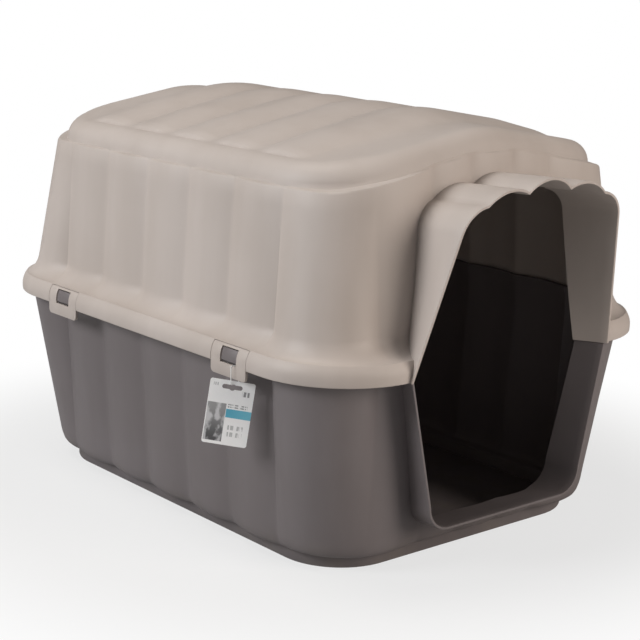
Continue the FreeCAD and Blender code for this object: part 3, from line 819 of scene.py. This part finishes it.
class Finish:
    """A material with one Principled shader and helpers for what feeds it."""

    def __init__(self, name, **constants):
        self.material = bpy.data.materials.new(name)
        self.material.use_nodes = True
        self.tree = self.material.node_tree
        self.shader = self.tree.nodes["Principled BSDF"]
        self.end = self.tree.nodes["Material Output"]
        for key, value in constants.items():
            self.put(self.shader.inputs[key.replace("_", " ")], value)

    def put(self, socket, value):
        if isinstance(value, Sum):
            self.tree.links.new(value.socket, socket)
        else:
            socket.default_value = value

    def node(self, kind, settings, inputs, output=0):
        """Any node: its type, its settings, then its inputs by name or number."""
        node = self.tree.nodes.new(kind)
        for key, value in settings.items():
            setattr(node, key, value)
        for key, value in inputs.items():
            self.put(node.inputs[key], value)
        return Sum(self, node.outputs[output])

    def maths(self, operation, a, b):
        return self.node("ShaderNodeMath", {"operation": operation}, {0: a, 1: b})

    def mix(self, factor, a, b):
        return self.node("ShaderNodeMix", {"data_type": "RGBA"}, {0: factor, 6: a, 7: b}, 2)

    def place(self, origin=(0, 0, 0), turn=(0, 0, 0)):
        """Object coordinates seen from an origin and a turn."""
        spot = self.node("ShaderNodeTexCoord", {}, {}, "Object")
        return self.node("ShaderNodeMapping", {"vector_type": "TEXTURE"},
                         {"Vector": spot, "Location": origin, "Rotation": turn})

    def stretch(self, place, scale):
        return self.node("ShaderNodeVectorMath", {"operation": "MULTIPLY"}, {0: place, 1: scale})

    def axes(self, place):
        split = self.node("ShaderNodeSeparateXYZ", {}, {0: place})
        return [Sum(self, out) for out in split.socket.node.outputs]

    def noise(self, place, scale, detail=3.0, roughness=0.5):
        return self.node("ShaderNodeTexNoise", {}, {"Vector": place, "Scale": scale,
                                                    "Detail": detail, "Roughness": roughness})

    def ramp(self, value, low, high, start=0.0, end=1.0):
        """Soft step of a value between two levels."""
        return self.node("ShaderNodeMapRange", {"interpolation_type": "SMOOTHSTEP"},
                         {"Value": value, "From Min": low, "From Max": high,
                          "To Min": start, "To Max": end})

    def bump(self, height, distance, strength):
        return self.node("ShaderNodeBump", {}, {"Height": height, "Distance": distance,
                                                "Strength": strength})

    def feed(self, **inputs):
        for key, value in inputs.items():
            self.put(self.shader.inputs[key.replace("_", " ")], value)

    def cover(self, piece):
        piece.data.materials.clear()
        piece.data.materials.append(self.material)


# %% Moulded plastic
def rgb(red, green, blue):
    return (red, green, blue, 1)


def moulded(name, light, dark, dust, grain=1.0):
    """Satin plastic: fine spark grain, slow clouds of tone, flow lines, scuffs and dust."""
    finish = Finish(name, IOR=1.46)
    place = finish.place()
    z = finish.axes(place)[2]
    cloud = finish.noise(place, 3.5, 4, 0.55)
    flow = finish.noise(finish.stretch(place, (9, 9, 0.8)), 2.4, 3, 0.5)
    fine = finish.noise(place, 1100, 2, 0.6)
    skin = finish.noise(place, 240, 3, 0.6)
    tone = finish.ramp(cloud * 0.65 + flow * 0.35, 0.36, 0.64)
    colour = finish.mix(tone, dark, light)
    speck = finish.ramp(finish.noise(place, 95, 5, 0.7), 0.66, 0.78)
    scratch = finish.noise(finish.stretch(place, (210, 14, 60)), 1, 4, 0.7)
    worn = finish.ramp(scratch, 0.70, 0.76) * finish.ramp(cloud, 0.45, 0.6)
    settled = finish.ramp(z, 0.06, 0.0) * finish.ramp(finish.noise(place, 22, 5, 0.6), 0.4, 0.7)
    colour = finish.mix(settled * 0.35 + speck * 0.10, colour, dust)
    colour = finish.mix(worn * 0.16, colour, light)
    rough = finish.ramp(cloud, 0.3, 0.7, 0.46, 0.56) + worn * 0.08 + settled * 0.2
    normal = finish.bump(fine * 0.6 + skin * 0.4, 0.00022 * grain, 0.45)
    finish.feed(Base_Color=colour, Roughness=rough, Normal=normal)
    return finish


taupe = moulded("taupe_plastic", rgb(0.465, 0.412, 0.38), rgb(0.425, 0.372, 0.338),
                rgb(0.36, 0.32, 0.28))
slate = moulded("slate_plastic", rgb(0.165, 0.146, 0.149), rgb(0.143, 0.125, 0.126),
                rgb(0.2, 0.175, 0.15), 1.2)
taupe.cover(roof)
for tab in tabs:
    taupe.cover(tab)
slate.cover(base)
print("finishes:", [f.material.name for f in (taupe, slate)])

# %% [markdown]
# ## The card and its loop
# The card hangs turned and tilted, so its finish first finds the place on the card in millimetres,
# from its top left corner. The print is generic: a grey picture block, a blue band and rows of
# short grey bars.

# %% Print on the card
CARD_PLACE = (-0.3194, -0.2235, 0.241)
CARD_TURN = (0, radians(8), radians(-40))
CARD_HALF = 0.029
CARD_TOP = 0.0085              # top edge of the card above its middle of turning


def card_finish():
    finish = Finish("printed_card", IOR=1.5, Coat_Roughness=0.2)
    place = finish.place(CARD_PLACE, CARD_TURN)
    x, y, z = finish.axes(place)
    across, down = (x + CARD_HALF) * 1000, (CARD_TOP - z) * 1000

    def area(left, right, top, low):
        return (across > left) * (across < right) * (down > top) * (down < low)

    fibre = finish.noise(place, 900, 3, 0.6)
    colour = finish.mix(fibre, rgb(0.92, 0.92, 0.93), rgb(0.97, 0.97, 0.97))
    tint = finish.ramp(down, 30, 82)
    cloud = finish.noise(finish.stretch(place, (90, 90, 55)), 1, 3, 0.5)
    grey = finish.mix(finish.ramp(cloud, 0.40, 0.56), rgb(0.52, 0.52, 0.54), rgb(0.08, 0.08, 0.085))
    colour = finish.mix(area(1.2, 25, 31, 82) * (tint * 0.3 + 0.7), colour, grey)
    blue = finish.mix(finish.ramp(across, 25, 58), rgb(0.10, 0.42, 0.58), rgb(0.17, 0.52, 0.66))
    colour = finish.mix(area(25.5, 58, 37.5, 49), colour, blue)
    dashes = finish.noise(finish.stretch(place, (620, 620, 30)), 1, 1, 0.5) > 0.47
    rows = area(27, 52, 31, 32.6) + area(27, 52, 34, 35.6) + area(43, 52, 12.5, 19)
    colour = finish.mix(rows * dashes * 0.8, colour, rgb(0.12, 0.12, 0.13))
    marks = area(30, 38, 59, 65) + area(42, 50, 59, 65) + area(30, 38, 68, 74) \
        + area(42, 50, 68, 74) + area(3, 11, 4.5, 8.5)
    colour = finish.mix(marks * dashes * 0.55, colour, rgb(0.2, 0.2, 0.21))
    pale = finish.mix(fibre, rgb(0.80, 0.80, 0.80), rgb(0.88, 0.88, 0.87))
    colour = finish.mix(y > 0, colour, pale)
    finish.feed(Base_Color=colour, Roughness=finish.ramp(fibre, 0.3, 0.7, 0.32, 0.44),
                Normal=finish.bump(fibre, 0.00005, 0.3))
    return finish


def loop_finish():
    finish = Finish("filament", IOR=1.53)
    place = finish.place()
    wisp = finish.noise(place, 700, 2, 0.5)
    finish.feed(Base_Color=finish.mix(wisp, rgb(0.78, 0.79, 0.79), rgb(0.9, 0.9, 0.89)),
                Roughness=finish.ramp(wisp, 0.3, 0.7, 0.2, 0.34))
    return finish


card_finish().cover(bpy.data.objects["hang_tag"])
loop_finish().cover(bpy.data.objects["tag_loop"])

# %% [markdown]
# ## Floor, light and background
# The photograph has a pure white background. The floor is pale and keeps the house's shadow close
# to it, and turns to plain white further out, where only the camera sees it.

# %% Floor
floor_mesh = bmesh.new()
bmesh.ops.create_grid(floor_mesh, x_segments=4, y_segments=4, size=14)
floor_data = bpy.data.meshes.new("floor")
floor_mesh.to_mesh(floor_data)
floor_mesh.free()
floor = bpy.data.objects.new("floor", floor_data)
bpy.context.scene.collection.objects.link(floor)
ground = Finish("pale_floor", Roughness=0.7)
spot = ground.place()
away = ground.node("ShaderNodeVectorMath", {"operation": "LENGTH"}, {0: spot}, "Value")
speckle = ground.noise(spot, 60, 3, 0.5)
ground.feed(Base_Color=ground.mix(speckle, rgb(0.5, 0.5, 0.5), rgb(0.53, 0.53, 0.53)))
seen = ground.node("ShaderNodeLightPath", {}, {}, "Is Camera Ray")
white = ground.node("ShaderNodeEmission", {}, {"Color": rgb(1, 1, 1), "Strength": 1.0})
lit = Sum(ground, ground.shader.outputs[0])
ground.put(ground.end.inputs["Surface"],
           ground.node("ShaderNodeMixShader", {},
                       {0: ground.ramp(away, 0.45, 0.85, 0.7, 1.0) * seen, 1: lit, 2: white}))
ground.cover(floor)
print("floor:", [round(v, 1) for v in floor.dimensions])


# %% Light
MIDDLE = (0, 0, 0.3)           # middle of the house, which every lamp faces
AMBIENT = 0.13


def lamp(name, place, aim, size, watts, colour=(1, 1, 1)):
    data = bpy.data.lights.new(name, "AREA")
    data.shape = "DISK"
    data.size = size
    data.energy = watts
    data.color = colour
    thing = bpy.data.objects.new(name, data)
    thing.location = place
    thing.rotation_euler = (Vector(aim) - Vector(place)).to_track_quat("-Z", "Y").to_euler()
    bpy.context.scene.collection.objects.link(thing)


lamp("key", (-3.3, 0.9, 2.0), MIDDLE, 1.6, 92, (0.975, 0.985, 1.0))
lamp("top", (-0.9, 0.6, 3.1), MIDDLE, 1.4, 40, (1.0, 0.96, 0.9))
lamp("fill", (1.3, -3.6, 1.7), MIDDLE, 2.4, 104, (1.0, 0.91, 0.83))
world = bpy.data.worlds.new("studio")
bpy.context.scene.world = world
world.use_nodes = True
sky = world.node_tree
backdrop = sky.nodes["Background"]
backdrop.inputs["Color"].default_value = (1, 1, 1, 1)
ambient = sky.nodes.new("ShaderNodeBackground")
ambient.inputs["Color"].default_value = (0.97, 0.98, 1, 1)
ambient.inputs["Strength"].default_value = AMBIENT
path = sky.nodes.new("ShaderNodeLightPath")
blend = sky.nodes.new("ShaderNodeMixShader")
sky.links.new(path.outputs["Is Camera Ray"], blend.inputs[0])
sky.links.new(ambient.outputs[0], blend.inputs[1])
sky.links.new(backdrop.outputs[0], blend.inputs[2])
sky.links.new(blend.outputs[0], sky.nodes["World Output"].inputs["Surface"])
bpy.context.scene.view_settings.view_transform = "Standard"
print("lamps:", len(bpy.data.lights))
